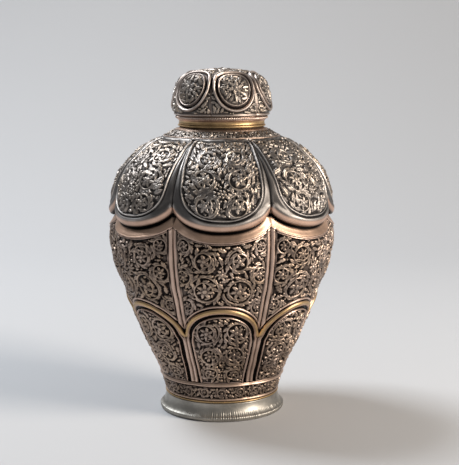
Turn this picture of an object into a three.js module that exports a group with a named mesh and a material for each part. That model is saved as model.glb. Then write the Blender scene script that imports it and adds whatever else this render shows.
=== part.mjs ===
// Lidded vase in repoussé sheet metal: a seven-lobed belly under a shoulder of seven overlapping
// petals, on a flared foot ring, with a six-lobed domed lid whose skirt slips over a hidden neck.
// Millimetres, +Z up, origin at the centre of the foot's resting face. The front lobe faces -Y.

import * as THREE from 'three';

// Sheet metal and fits
const SHEET = 1.2; // wall of the raised shells
const JOINT_GAP = 0.3; // between soldered pieces, and between a piece and its seat
const LID_CLEARANCE = 0.4; // between the neck and the lid's skirt, on the radius

// Foot
const FOOT_HEIGHT = 10.1;
const FOOT_WAIST = 33.1; // narrowest radius, under the belly
const FOOT_FLARE = 3.6; // how far the upright edge stands out past the waist
const FOOT_SWEEP = 0.4; // how far the flare's sweep stays outside the waist
const FOOT_ROUNDING = 1.8; // how far the edge draws in to the resting face
const FOOT_EDGE = 2.6; // top of the upright part of the foot's edge
const FOOT_WALL = 1.6;
const FOOT_WIRE = 0.5; // section radius of the wire over the foot

// Belly
const LOBES = 7;
const LOBE_FULLNESS = 2.7; // 2 makes a lobe's back a parabola, more makes it fuller
const LOBE_DEPTH = 6.0; // of the valley between two lobes, where it is deepest
const BAND_HEIGHT = 9.1; // chased band between the foot and the arches
const BAND_STEP = 0.2; // how far the band's foot stands out past the waist
const BAND_FLARE = 2.6; // how far the band widens to its upper line
const BAND_BEAD = 0.7; // how far the line over the band stands out
const BEAD_RISE = 1.6; // height of that line over the band
const BELLY_RADIUS = 66.9; // widest, on the ridge of a lobe
const BELLY_RISE = 83.2; // from the band to the widest place
const ARCH_HEIGHT = 50.0; // from the band to the top of an arch's moulding on the ridge
const ARCH_RISE = 17.0; // from where two arches meet in the valley to their top
const ARCH_ROUNDNESS = 0.96; // 1 makes an arch a full half ellipse
const ARCH_WIDTH = 3.9; // moulding of an arch
const ARCH_RELIEF = 1.1; // how far the moulding stands out
const ARCH_GROOVE = 0.9; // depth of the groove inside it
const PILASTER_FROM = 0.8; // share of a half lobe where the plain upright strip starts
const PANEL_EDGE = 0.85; // share of a half lobe that a panel's scrollwork takes
const PILASTER_RELIEF = 0.6;
const ROUNDEL_RELIEF = 0.75; // swelling of the roundels of scrollwork, and sinking between them
const PANEL_ROUNDELS = 2; // rows of them on a panel of the belly
const ARCH_ROUNDELS = 2; // rows in an arch
const PETAL_ROUNDELS = 3; // rows on a petal

// Shoulder
const PETAL_DROP = 9.8; // from the belly's widest place up to a petal's lower edge
const PETAL_SCALLOP = 9.4; // from that edge on the ridge to where two petals meet in the valley
const PETAL_ROUNDNESS = 0.93;
const PETAL_INSET = 0.6; // how far a petal's edge lies inside the belly's widest radius
const PETAL_LIP = 7.3; // plain rim of a petal with its roll
const PETAL_RELIEF = 1.2; // how far the rim's roll stands out
const PETAL_TUCK = 0.8; // how far its edge turns in under the roll
const PETAL_LAP = 3.6; // how far the belly reaches up inside the shoulder
const COVE_DEPTH = 1.5; // hollow band of the belly under the petals
const COVE_WIDTH = 6.0;
const COVE_LIP = 1.3; // how far deeper the cove goes at the petal's edge
const SHOULDER_HEIGHT = 47.8; // from a petal's lower edge to the chased ring round the neck
const COLLAR_BAND_RISE = 5.3; // height of that ring
const COLLAR_BAND_WIDTH = 10.1; // how far it reaches out from the neck
const COLLAR_LINE = 1.6; // plain line between that ring and the petals

// Neck and its seat
const NECK_RADIUS = 23.5;
const NECK_WALL = 1.0;
const NECK_RISE = 17.1; // how far the neck stands up out of the shoulder
const NECK_DEPTH = 2.3; // and how far it reaches down into it
const SEAT_WIDTH = 1.6;
const SEAT_THICKNESS = 0.9;

// Lid
const LID_LOBES = 6;
const LID_TURN = THREE.MathUtils.degToRad(16.6); // front medallion's turn from the front lobe
const DOME_OVERHANG = 4.1; // how far the ridge of a lobe stands out past the skirt's sleeve
const DOME_HEIGHT = 27.4;
const LID_VALLEY = 1.1; // depth of a valley between medallions
const LID_SHEET = 1.1;
const SKIRT_HEIGHT = 3.1; // plain part of the skirt that shows
const SKIRT_FLARE = 0.9; // how far it widens upwards
const SKIRT_WALL = 0.9;
const SKIRT_SLEEVE = 5.5; // upper part of the skirt, inside the dome
const ROPE_WIRE = 0.75; // section radius of the twisted wire

const DOME_RINGS = [0.993, 0.96, 0.909, 0.836, 0.734, 0.61, 0.456, 0.281, 0.12, 0.044, 0]; // up the dome

// Counts of facets
const LOBE_STEPS = 12;
const LID_LOBE_STEPS = 10;
const ROUND_STEPS = 40;
const WIRE_SIDES = 6;

const TURN = Math.PI * 2;
const { lerp } = THREE.MathUtils;

const metal = (color, roughness) => new THREE.MeshStandardMaterial({ color, roughness, metalness: 0.9 });
const DARK_SILVER = metal(0x6f5f54, 0.5);
const WORN_SILVER = metal(0x8f8475, 0.4);
const BRASSY = metal(0x9a7d4f, 0.38);

// A point on the object from its angle (0 at the front, growing to the right), radius and height
function place(angle, radius, height) {
  return new THREE.Vector3(radius * Math.sin(angle), -radius * Math.cos(angle), height);
}

// Where an angle lies across its lobe: 0 on the ridge, 1 in the valley on either side
function acrossLobe(angle, lobes, turn = 0) {
  const pitch = TURN / lobes;
  const offset = (angle - turn) / pitch;
  return Math.abs(offset - Math.round(offset)) * 2;
}

// Smooth curve through (radius, height) points that gives the radius at a height
function profile(points) {
  const curve = new THREE.SplineCurve(points.map(([radius, height]) => new THREE.Vector2(radius, height)));
  const samples = curve.getPoints(points.length * 24).sort((a, b) => a.y - b.y);
  return (height) => {
    const above = samples.findIndex((point) => point.y >= height);
    if (above < 0) return samples[samples.length - 1].x;
    if (above === 0) return samples[0].x;
    const low = samples[above - 1];
    const high = samples[above];
    return THREE.MathUtils.mapLinear(height, low.y, high.y, low.x, high.x);
  };
}

// Points between two (radius, height) points, as shares of the way across and of the way up
function between([startRadius, startHeight], [endRadius, endHeight], shares) {
  return shares.map(([across, up]) => [
    lerp(startRadius, endRadius, across), lerp(startHeight, endHeight, up)]);
}

// Curve of an arch or a petal's edge: 1 on the ridge, 0 in the valley
function scallop(across, roundness) {
  const rise = Math.sqrt(1 - (roundness * across) ** 2);
  const least = Math.sqrt(1 - roundness ** 2);
  return (rise - least) / (1 - least);
}

// Closed shell from rings of points, all with one count; open shells join their last ring to the first
function shellGeometry(rings, { topPole = null, bottomPole = null } = {}) {
  const steps = rings[0].length;
  const points = rings.flat();
  const faces = [];
  const at = (ring, step) => ring * steps + (step % steps);
  const lastRing = topPole ? rings.length - 1 : rings.length;
  for (let ring = 0; ring < lastRing; ring += 1) {
    const next = (ring + 1) % rings.length;
    for (let step = 0; step < steps; step += 1) {
      faces.push(at(ring, step), at(next, step), at(next, step + 1));
      faces.push(at(ring, step), at(next, step + 1), at(ring, step + 1));
    }
  }
  if (topPole) {
    const outer = points.push(topPole) - 1;
    const inner = points.push(bottomPole) - 1;
    for (let step = 0; step < steps; step += 1) {
      faces.push(outer, at(0, step), at(0, step + 1));
      faces.push(inner, at(rings.length - 1, step + 1), at(rings.length - 1, step));
    }
  }
  const geometry = new THREE.BufferGeometry();
  geometry.setAttribute('position', new THREE.Float32BufferAttribute(points.flatMap((p) => p.toArray()), 3));
  geometry.setIndex(faces);
  geometry.computeVertexNormals();
  return geometry;
}

// Ring all round the object from a function that gives [radius, height] at an angle
function ringOf(steps, section) {
  return Array.from({ length: steps }, (_, step) => {
    const angle = (TURN * step) / steps;
    const [radius, height] = section(angle);
    return place(angle, radius, height);
  });
}

// Solid of revolution from a closed (radius, height) outline, given counter-clockwise
function turned(outline) {
  const points = outline.map(([radius, height]) => new THREE.Vector2(radius, height));
  points.push(points[0].clone());
  const lathe = new THREE.LatheGeometry(points, ROUND_STEPS);
  lathe.rotateX(Math.PI / 2);
  return lathe;
}

// Wire bent into a ring round the axis
function wireRing(radius, section, height) {
  const ring = new THREE.TorusGeometry(radius, section, WIRE_SIDES, ROUND_STEPS);
  ring.translate(0, 0, height);
  return ring;
}

// Swelling of the roundels that a panel's scrollwork winds into: two side by side in each row
function roundels(across, share, rows) {
  const column = across < PANEL_EDGE ? -Math.cos(Math.PI * 3 * across) : 0;
  return -ROUNDEL_RELIEF * column * Math.cos(TURN * rows * share);
}

// Heights and radii that follow from the sizes above
const FOOT_RADIUS = FOOT_WAIST + FOOT_FLARE;
const BAND_BOTTOM = FOOT_HEIGHT + FOOT_WIRE * 2 + JOINT_GAP * 2;
const BAND_TOP = BAND_BOTTOM + BAND_HEIGHT;
const BAND_RADIUS = FOOT_WAIST + BAND_STEP;
const ARCH_APEX = BAND_TOP + ARCH_HEIGHT;
const ARCH_CUSP = ARCH_APEX - ARCH_RISE;
const BELLY_HEIGHT = BAND_TOP + BELLY_RISE;
const PETAL_EDGE = BELLY_HEIGHT + PETAL_DROP;
const PETAL_CUSP = PETAL_EDGE + PETAL_SCALLOP;
const COLLAR_BAND_FOOT = PETAL_EDGE + SHOULDER_HEIGHT;
const SHOULDER_TOP = COLLAR_BAND_FOOT + COLLAR_BAND_RISE;
const NECK_OUTSIDE = NECK_RADIUS + JOINT_GAP;
const SEAT_RADIUS = NECK_OUTSIDE + SEAT_WIDTH;
const SEAT_BOTTOM = SHOULDER_TOP + JOINT_GAP;
const SEAT_TOP = SEAT_BOTTOM + SEAT_THICKNESS;
const SKIRT_BOTTOM = SEAT_TOP + JOINT_GAP;
const SKIRT_INNER = NECK_RADIUS + LID_CLEARANCE;
const SKIRT_OUTER = SKIRT_INNER + SKIRT_WALL;
const SKIRT_TOP = SKIRT_BOTTOM + SKIRT_HEIGHT;
const ROPE_RADIUS = SKIRT_OUTER + ROPE_WIRE + JOINT_GAP * 2;
const ROPE_HEIGHT = SKIRT_TOP + ROPE_WIRE;
const DOME_BOTTOM = ROPE_HEIGHT + ROPE_WIRE + JOINT_GAP;
const LID_TOP = DOME_BOTTOM + DOME_HEIGHT;
const LID_RADIUS = SKIRT_OUTER + DOME_OVERHANG;

// Profiles on the ridges of the lobes, and how deep the valleys lie at each height
const BAND_LINE = [BAND_RADIUS + BAND_FLARE, BAND_TOP];
const WIDEST = [BELLY_RADIUS, BELLY_HEIGHT];
const LAP_TOP = [BELLY_RADIUS - PETAL_INSET * 2, PETAL_CUSP + PETAL_LAP];
const PETAL_TIP = [BELLY_RADIUS - PETAL_INSET, PETAL_EDGE];
const RING_EDGE = [NECK_OUTSIDE + COLLAR_BAND_WIDTH, COLLAR_BAND_FOOT];
const RING_INSIDE = [NECK_OUTSIDE, SHOULDER_TOP];
const BELLY = profile([BAND_LINE,
  ...between(BAND_LINE, WIDEST, [[0.11, 0.087], [0.339, 0.255], [0.539, 0.429], [0.703, 0.609],
    [0.9, 0.784]]),
  WIDEST, LAP_TOP]);
const SHOULDER = profile([PETAL_TIP,
  ...between(PETAL_TIP, RING_EDGE, [[0.016, 0.19], [0.064, 0.37], [0.152, 0.53], [0.3, 0.68],
    [0.5, 0.81], [0.72, 0.915]]),
  RING_EDGE, ...between(RING_EDGE, RING_INSIDE, [[0.584, 0.642]]), RING_INSIDE]);
const VALLEYS = profile([[LOBE_DEPTH * 0.05, BAND_TOP],
  [LOBE_DEPTH * 0.5, lerp(BAND_TOP, ARCH_CUSP, 0.28)],
  [LOBE_DEPTH * 0.77, ARCH_CUSP],
  [LOBE_DEPTH * 0.63, lerp(ARCH_CUSP, ARCH_APEX, 0.84)],
  [LOBE_DEPTH * 0.9, lerp(ARCH_APEX, BELLY_HEIGHT, 0.58)],
  [LOBE_DEPTH, lerp(BELLY_HEIGHT, PETAL_CUSP, 0.21)],
  [LOBE_DEPTH * 0.8, PETAL_CUSP],
  [LOBE_DEPTH * 0.57, lerp(PETAL_CUSP, COLLAR_BAND_FOOT, 0.22)],
  [LOBE_DEPTH * 0.43, lerp(PETAL_CUSP, COLLAR_BAND_FOOT, 0.7)],
  [LOBE_DEPTH * 0.08, COLLAR_BAND_FOOT],
  [0, SHOULDER_TOP]]);
const DOME = profile([[0.948, 0], [0.99, 0.084], [1, 0.245], [0.979, 0.409], [0.938, 0.537], [0.896, 0.668],
  [0.817, 0.788], [0.678, 0.891], [0.436, 0.964], [0.173, 0.995]].map(([across, up]) => [
  LID_RADIUS * across, lerp(DOME_BOTTOM, LID_TOP, up)]));

function petalEdge(across) {
  return lerp(PETAL_CUSP, PETAL_EDGE, scallop(across, PETAL_ROUNDNESS));
}

function archTop(across) {
  return lerp(ARCH_CUSP, ARCH_APEX, scallop(across, ARCH_ROUNDNESS));
}

// Rings of a lobed shell. The ones that are backed also shape its inner wall.
class LobedShell {
  constructor(curve) {
    this.curve = curve;
    this.outer = [];
    this.backed = [];
  }

  add(heightAt, reliefAt = () => 0, backed = false) {
    if (backed) this.backed.push(this.outer.length);
    this.outer.push(ringOf(LOBES * LOBE_STEPS, (angle) => {
      const across = acrossLobe(angle, LOBES);
      const height = heightAt(across);
      const drawnIn = VALLEYS(height) * across ** LOBE_FULLNESS;
      return [this.curve(height) - drawnIn + reliefAt(across), height];
    }));
  }

  // Evenly spaced rings between two borders, on which rows of roundels swell
  addPanel(topAt, bottomAt, count, rows, stripRelief = 0) {
    for (let step = 1; step <= count; step += 1) {
      const share = step / (count + 1);
      this.add(
        (across) => lerp(topAt(across), bottomAt(across), share),
        (across) => (across < PANEL_EDGE ? roundels(across, share, rows) : stripRelief),
        step % 3 === 2,
      );
    }
  }

  geometry(leastRadius = 0) {
    const inner = insideOf(this.outer, this.backed, SHEET, leastRadius).reverse();
    return shellGeometry([...this.outer, ...inner]);
  }
}

// The belly: rings from its hidden lap under the petals, down over the cove, the middle panels, the
// arches with their mouldings and grooves and the pilasters between them, to the chased band
function bellyShell() {
  const shell = new LobedShell(BELLY);
  const coveFoot = (across) => petalEdge(across) - COVE_WIDTH;
  const archInside = (across) => archTop(across) - ARCH_WIDTH;
  const groove = (across) => (across < PILASTER_FROM ? -ARCH_GROOVE : 0);
  shell.add((across) => petalEdge(across) + PETAL_LAP, () => -(SHEET + JOINT_GAP) * 1.25, true);
  shell.add((across) => petalEdge(across) - JOINT_GAP, () => -COVE_DEPTH - COVE_LIP, true);
  shell.add((across) => petalEdge(across) - COVE_WIDTH * 0.3, () => -COVE_DEPTH);
  shell.add((across) => petalEdge(across) - COVE_WIDTH * 0.65, () => -COVE_DEPTH * 0.7);
  shell.add(coveFoot);
  shell.addPanel(coveFoot, archTop, 7, PANEL_ROUNDELS);
  shell.add(archTop);
  shell.add((across) => archTop(across) - ARCH_WIDTH * 0.28, () => ARCH_RELIEF);
  shell.add((across) => archTop(across) - ARCH_WIDTH * 0.72, () => ARCH_RELIEF);
  shell.add(archInside, groove);
  shell.addPanel(archInside, () => BAND_TOP + BEAD_RISE, 6, ARCH_ROUNDELS, PILASTER_RELIEF);
  shell.add(() => BAND_TOP + BEAD_RISE, () => BAND_BEAD);
  shell.add(() => BAND_TOP, () => 0, true);
  shell.backed.push(shell.outer.length);
  shell.outer.push(ringOf(LOBES * LOBE_STEPS, () => [BAND_RADIUS, BAND_BOTTOM]));
  return shell.geometry();
}

// Rings a wall's thickness inside the ones named, none nearer to the axis than a least radius
function insideOf(outer, backed, wall, leastRadius = 0) {
  const steps = outer[0].length;
  return backed.map((ring) => outer[ring].map((point, step) => {
    const above = outer[Math.max(ring - 1, 0)][step];
    const below = outer[Math.min(ring + 1, outer.length - 1)][step];
    const before = outer[ring][(step + steps - 1) % steps];
    const after = outer[ring][(step + 1) % steps];
    const down = new THREE.Vector3().subVectors(below, above);
    const round = new THREE.Vector3().subVectors(after, before);
    const outward = new THREE.Vector3().crossVectors(down, round).normalize();
    const inside = point.clone().addScaledVector(outward, -wall);
    const radius = Math.hypot(inside.x, inside.y);
    const spread = Math.max(1, leastRadius / radius);
    return new THREE.Vector3(inside.x * spread, inside.y * spread, inside.z);
  }));
}

// The shoulder: seven petals that run from the chased ring at the neck to a rolled, scalloped edge
function shoulderShell() {
  const shell = new LobedShell(SHOULDER);
  const fieldTop = COLLAR_BAND_FOOT - COLLAR_LINE;
  const fieldFoot = (across) => petalEdge(across) + PETAL_LIP;
  shell.add(() => SHOULDER_TOP, () => 0, true);
  shell.add(() => (SHOULDER_TOP + COLLAR_BAND_FOOT) / 2);
  shell.add(() => COLLAR_BAND_FOOT);
  shell.add(() => fieldTop);
  shell.addPanel(() => fieldTop, fieldFoot, 9, PETAL_ROUNDELS);
  shell.add(fieldFoot);
  shell.add((across) => petalEdge(across) + PETAL_LIP * 0.7, () => PETAL_RELIEF * 0.5);
  shell.add((across) => petalEdge(across) + PETAL_LIP * 0.45, () => PETAL_RELIEF, true);
  shell.add((across) => petalEdge(across) + PETAL_LIP * 0.15, () => PETAL_RELIEF * 0.4);
  shell.add(petalEdge, () => -PETAL_TUCK, true);
  return shell.geometry(NECK_OUTSIDE);
}

function footRing() {
  const flare = new THREE.QuadraticBezierCurve(
    new THREE.Vector2(FOOT_RADIUS, FOOT_EDGE),
    new THREE.Vector2(FOOT_WAIST + FOOT_SWEEP, FOOT_HEIGHT * 0.45),
    new THREE.Vector2(FOOT_WAIST, FOOT_HEIGHT),
  ).getPoints(4).map((point) => [point.x, point.y]);
  const inside = flare.slice().reverse().map(([radius, height]) => [radius - FOOT_WALL, height]);
  const rest = FOOT_RADIUS - FOOT_ROUNDING;
  return turned([[rest, 0], [FOOT_RADIUS, FOOT_ROUNDING], ...flare, ...inside, [rest - FOOT_WALL, 0]]);
}

function basePlate() {
  const radius = BAND_RADIUS - SHEET - JOINT_GAP * 2;
  const plate = new THREE.CylinderGeometry(radius, radius, SHEET, ROUND_STEPS);
  plate.rotateX(Math.PI / 2);
  plate.translate(0, 0, BAND_BOTTOM + SHEET / 2);
  return plate;
}

const NECK_TOP = SHOULDER_TOP + NECK_RISE;
const NECK_ROOT = SHOULDER_TOP - NECK_DEPTH;

function neckCollar() {
  const inner = NECK_RADIUS - NECK_WALL;
  return turned([[NECK_RADIUS, NECK_ROOT], [NECK_RADIUS, NECK_TOP], [inner, NECK_TOP], [inner, NECK_ROOT]]);
}

function neckSeat() {
  const inner = NECK_OUTSIDE;
  const round = SEAT_THICKNESS * 0.3;
  return turned([[inner, SEAT_BOTTOM], [SEAT_RADIUS - round, SEAT_BOTTOM], [SEAT_RADIUS, SEAT_BOTTOM + round],
    [SEAT_RADIUS, SEAT_TOP - round], [SEAT_RADIUS - round, SEAT_TOP], [inner, SEAT_TOP]]);
}

// The lid's skirt: a plain flared band that shows, and a straight sleeve soldered inside the dome
function lidSkirt() {
  const base = SKIRT_OUTER;
  const sleeveTop = SKIRT_TOP + SKIRT_SLEEVE;
  return turned([[base, SKIRT_BOTTOM], [base + SKIRT_FLARE, SKIRT_TOP], [base, SKIRT_TOP + SKIRT_FLARE],
    [base, sleeveTop], [SKIRT_INNER, sleeveTop], [SKIRT_INNER, SKIRT_BOTTOM]]);
}

// The lid's dome: a cushion of six lobes, one for each medallion
function lidDome() {
  const steps = LID_LOBES * LID_LOBE_STEPS;
  const heights = DOME_RINGS.map((up) => lerp(DOME_BOTTOM, LID_TOP, up));
  const outer = heights.map((height) => ringOf(steps, (angle) => {
    const across = acrossLobe(angle, LID_LOBES, LID_TURN);
    const fade = Math.min(1, DOME(height) / LID_RADIUS);
    return [DOME(height) - LID_VALLEY * fade * across ** LOBE_FULLNESS, height];
  }));
  const rim = heights.length - 1;
  const backed = heights.map((_, ring) => ring).filter((ring) => ring % 3 === 0 || ring === rim);
  const inner = insideOf(outer, backed, LID_SHEET).reverse();
  return shellGeometry([...outer, ...inner], {
    topPole: new THREE.Vector3(0, 0, LID_TOP),
    bottomPole: new THREE.Vector3(0, 0, LID_TOP - LID_SHEET),
  });
}

function named(name, geometry, material) {
  const mesh = new THREE.Mesh(geometry, material);
  mesh.name = name;
  return mesh;
}

const vase = new THREE.Group();
vase.add(
  named('foot_ring', footRing(), WORN_SILVER),
  named('foot_wire', wireRing(FOOT_WAIST, FOOT_WIRE, FOOT_HEIGHT + JOINT_GAP + FOOT_WIRE), BRASSY),
  named('base_plate', basePlate(), DARK_SILVER),
  named('belly_shell', bellyShell(), DARK_SILVER),
  named('shoulder_shell', shoulderShell(), DARK_SILVER),
  named('neck_collar', neckCollar(), BRASSY),
  named('neck_seat_ring', neckSeat(), BRASSY),
);

const lid = new THREE.Group();
lid.add(
  named('lid_skirt', lidSkirt(), BRASSY),
  named('lid_rope_wire', wireRing(ROPE_RADIUS, ROPE_WIRE, ROPE_HEIGHT), BRASSY),
  named('lid_dome', lidDome(), DARK_SILVER),
);

const lidded = new THREE.Group();
lidded.add(vase, lid);

export default lidded;
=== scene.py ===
"""Lidded vase in chased, tarnished sheet metal, dressed as an add-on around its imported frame.

Lengths are in millimetres up to the moment a mesh is written, and angles grow from the front lobe
to the right."""

import copy
import math

import bpy
import numpy as np
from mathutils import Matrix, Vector


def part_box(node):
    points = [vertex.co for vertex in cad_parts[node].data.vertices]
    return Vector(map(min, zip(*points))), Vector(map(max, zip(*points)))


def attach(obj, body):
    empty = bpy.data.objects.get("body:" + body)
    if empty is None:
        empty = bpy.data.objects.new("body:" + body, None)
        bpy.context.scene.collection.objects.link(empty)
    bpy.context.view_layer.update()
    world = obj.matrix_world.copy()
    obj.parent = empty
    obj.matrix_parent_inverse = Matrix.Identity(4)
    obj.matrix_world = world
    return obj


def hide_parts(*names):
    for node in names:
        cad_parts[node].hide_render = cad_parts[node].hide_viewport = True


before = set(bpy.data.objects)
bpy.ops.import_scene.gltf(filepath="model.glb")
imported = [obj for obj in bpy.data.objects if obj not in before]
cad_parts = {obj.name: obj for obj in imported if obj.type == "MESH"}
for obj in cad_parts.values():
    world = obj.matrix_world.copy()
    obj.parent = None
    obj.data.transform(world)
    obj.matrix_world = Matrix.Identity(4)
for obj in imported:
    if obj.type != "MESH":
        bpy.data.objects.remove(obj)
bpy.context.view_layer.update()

bl_info = {
    "name": "Lidded Vase",
    "version": (1, 1, 0),
    "blender": (4, 5, 0),
    "location": "3D View > Sidebar > Vase",
    "description": "Dresses a chased metal lidded vase with its ornament, finishes, stage and camera",
    "category": "Object",
}

# Units and grids
MM = 0.001
PITCH = 0.16  # raster of the worked ornament
MOST_TRIANGLES = 186000  # what a large piece is slimmed to
COLUMNS = 192  # across a lobe of the vase
ROWS = 200  # up a sheet
BAND_ROW = 0.26  # height of a row in a band
LID_COLUMNS = 120
ROUND = 960  # steps round a spun piece
AROUND = 6  # cells on each side that a hollow is measured against

# Camera, from the photograph: the foot's ellipse gives the distance, the lid's rim the height
CAMERA_DISTANCE = 0.696
CAMERA_HEIGHT = 0.2087
CAMERA_PITCH = math.radians(8.53)
CAMERA_YAW = math.radians(0.373)
FOCAL_PIXELS = 1197.0
IMAGE_WIDTH = 459.0
SENSOR_MM = 36.0


def low_corner(node):
    """Lowest corner of a node of the frame, in millimetres."""
    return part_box(node)[0] / MM


def high_corner(node):
    """Highest corner of a node of the frame, in millimetres."""
    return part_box(node)[1] / MM


# Lobes and main heights, as the frame has them
LOBES = 7
FRONT_LOBES = 3
LID_LOBES = 6
LID_TURN = math.radians(16.6)
FULLNESS = 2.7  # how full a lobe's back is
BAND_BOTTOM = low_corner("belly_shell").z
BAND_TOP = BAND_BOTTOM + 9.1
BAND_LINES = 2.0  # lines between the band and the arches
ARCH_CUSP = 53.8
ARCH_APEX = 70.8
ARCH_ROUNDNESS = 0.96
PETAL_EDGE = low_corner("shoulder_shell").z
PETAL_CUSP = 123.2
PETAL_ROUNDNESS = 0.93
COLLAR_FOOT = 161.6
SHOULDER_TOP = high_corner("shoulder_shell").z
DOME_BOTTOM = low_corner("lid_dome").z
LID_TOP = high_corner("lid_dome").z

# Angles round the vase from the valley left of the front lobe, the last a full turn on
ANGLES = (np.arange(LOBES * COLUMNS + 1) / COLUMNS - 0.5) * math.tau / LOBES
LOBE_AT = np.round(ANGLES * LOBES / math.tau).astype(int) % LOBES  # index of the lobe at each angle

# Worked metal, heights over the plain sheet
SHEET = 1.2
GROUND = -1.0  # sunk ground between the leaves
LEAF = 1.45  # how high the leaves stand over the ground
SHALLOW = 0.8  # share of that depth on the bands and the lid
SHALLOW_LEAF = 0.85
RUBBED = 0.6  # height at which the leaves are rubbed flat
ROUNDEL_SWELL = 0.55  # swelling of the sheet under the roundels of scrollwork
PANEL_EDGE = 5 / 6  # share of a half lobe that they take
STRAY = 0.12  # how far the lines stray
STRAY_WAVE = 14  # from crest to crest of their straying
SURFACE_WAVE = 9  # and of the unevenness of the sheet
BACK_SHARES = (1.0, 0.985, 0.95, 0.9, 0.82, 0.5, 0.2, 0.06, 0.0)  # rows of a sheet's back, down its height


class VASE_PG_finish(bpy.types.PropertyGroup):
    """Colours of the metal"""

    silver: bpy.props.FloatVectorProperty(
        name="Rubbed silver", description="Colour of the rubbed leaves on the shoulder and the lid",
        subtype="COLOR", size=4, default=(0.64, 0.585, 0.545, 1.0))
    grey: bpy.props.FloatVectorProperty(
        name="Grey silver", description="Colour of the flanks of the silver leaves",
        subtype="COLOR", size=4, default=(0.24, 0.212, 0.195, 1.0))
    hollow: bpy.props.FloatVectorProperty(
        name="Silver hollows", description="Colour between the silver leaves",
        subtype="COLOR", size=4, default=(0.062, 0.056, 0.054, 1.0))
    bright: bpy.props.FloatVectorProperty(
        name="Rubbed copper", description="Colour of the rubbed leaves on the belly",
        subtype="COLOR", size=4, default=(0.78, 0.62, 0.53, 1.0))
    middle: bpy.props.FloatVectorProperty(
        name="Toned copper", description="Colour of the flanks of the copper leaves",
        subtype="COLOR", size=4, default=(0.15, 0.113, 0.095, 1.0))
    # Also the colour that plain rims and bands darken to in the painted shade under lips, in grooves and by
    # valleys
    dark: bpy.props.FloatVectorProperty(
        name="Tarnish", description="Colour of the tarnish in the hollows",
        subtype="COLOR", size=4, default=(0.008, 0.006, 0.006, 1.0))
    plain: bpy.props.FloatVectorProperty(
        name="Plain rims", description="Colour of the plain rims of petals and medallions",
        subtype="COLOR", size=4, default=(0.155, 0.143, 0.136, 1.0))
    copper: bpy.props.FloatVectorProperty(
        name="Copper", description="Colour of the plain bands and strips",
        subtype="COLOR", size=4, default=(0.78, 0.53, 0.405, 1.0))
    gold: bpy.props.FloatVectorProperty(
        name="Golden edge", description="Colour of the worn mouldings and the lid's skirt",
        subtype="COLOR", size=4, default=(0.66, 0.45, 0.23, 1.0))
    foot: bpy.props.FloatVectorProperty(
        name="Foot", description="Colour of the plain foot",
        subtype="COLOR", size=4, default=(0.52, 0.49, 0.44, 1.0))


# Cross-sections of lines, grooves and rolls

def bump(place, centre, half_width):
    """A round-topped line: 1 on its centre, 0 past its edges."""
    return np.clip(1 - ((place - centre) / half_width) ** 2, 0, 1) ** 0.8


def ridges(place, *lines):
    """Raised and sunk lines side by side, each with its height, centre and half width."""
    return sum(height * bump(place, centre, half_width) for height, centre, half_width in lines)


def ease(share):
    """A step with soft ends: 0 up to 0, 1 from 1 on."""
    share = np.clip(share, 0, 1)
    return share * share * (3 - 2 * share)


def blend(first, second, share):
    """A mix of two values: the first one at 0, the second one at 1."""
    return first * (1 - share) + second * share


def rounded(share):
    """A quarter round: 0 at 0, 1 at 1, steepest at its start."""
    return np.sqrt(np.clip(1 - (1 - np.clip(share, 0, 1)) ** 2, 0, 1))


# Sheets: the smooth lobed surfaces that the ornament is worked on

def spline(points):
    """Dense points on a Catmull-Rom curve through the given ones."""
    knots = np.array(points, float)
    padded = np.vstack([knots[:1], knots, knots[-1:]])
    share = np.linspace(0, 1, 24, endpoint=False)[:, None]
    stretches = []
    for before, start, end, after in zip(padded[:-3], padded[1:-2], padded[2:-1], padded[3:]):
        leave, arrive = (end - before) / 2, (after - start) / 2
        stretches.append((2 * start - 2 * end + leave + arrive) * share ** 3
                         + (3 * end - 3 * start - 2 * leave - arrive) * share ** 2 + leave * share + start)
    return np.vstack(stretches + [knots[-1:]])


def curve_by_height(points):
    """Function that looks a value up by height, on a curve through (value, height) points."""
    curve = spline(points)
    curve = curve[np.argsort(curve[:, 1])]
    return lambda height: np.interp(height, curve[:, 1], curve[:, 0])


class Sheet:
    """A lobed sheet round the axis. A run is a distance along the sheet, up a lobe's ridge."""

    def __init__(self, points, valleys, lobes=LOBES, turn=0.0):
        self.lobes, self.turn, self.valleys = lobes, turn, valleys
        curve = spline(points)
        steps = np.hypot(*np.diff(curve, axis=0).T)
        self.radii, self.heights = curve.T
        self.runs = np.concatenate([[0.0], np.cumsum(steps)])

    def run_at(self, height):
        return np.interp(height, self.heights, self.runs)

    def radius(self, run):
        return np.interp(run, self.runs, self.radii)

    def height(self, run):
        return np.interp(run, self.runs, self.heights)

    def across(self, angle):
        """Where an angle lies across its lobe: 0 on the ridge, -1 and 1 in the valleys."""
        offset = (angle - self.turn) * self.lobes / math.tau
        return 2 * (offset - np.round(offset))

    def half_lobe(self, run):
        """Distance along the sheet from the ridge to a valley."""
        return math.pi / self.lobes * self.radius(run)

    def from_valley(self, s, run):
        """Distance along the sheet from a place to the nearest valley."""
        return self.half_lobe(run) - np.abs(s)

    def points(self, angle, run):
        """Points on the sheet, in millimetres."""
        height = self.height(run)
        drawn_in = self.valleys(height) * np.abs(self.across(angle)) ** FULLNESS
        radius = self.radius(run) - drawn_in * np.minimum(1, self.radius(run) / 20)
        return np.stack([radius * np.sin(angle), -radius * np.cos(angle), height], axis=-1)


def scallop(across, roundness, cusp, crown):
    """Height of an arch or a petal's edge, from its crown on the ridge to its cusp in the valley."""
    least = math.sqrt(1 - roundness ** 2)
    share = (np.sqrt(1 - (roundness * across) ** 2) - least) / (1 - least)
    return cusp + (crown - cusp) * share


def petal_edge(across):
    return scallop(across, PETAL_ROUNDNESS, PETAL_CUSP, PETAL_EDGE)


def arch_top(across):
    return scallop(across, ARCH_ROUNDNESS, ARCH_CUSP, ARCH_APEX)


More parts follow.
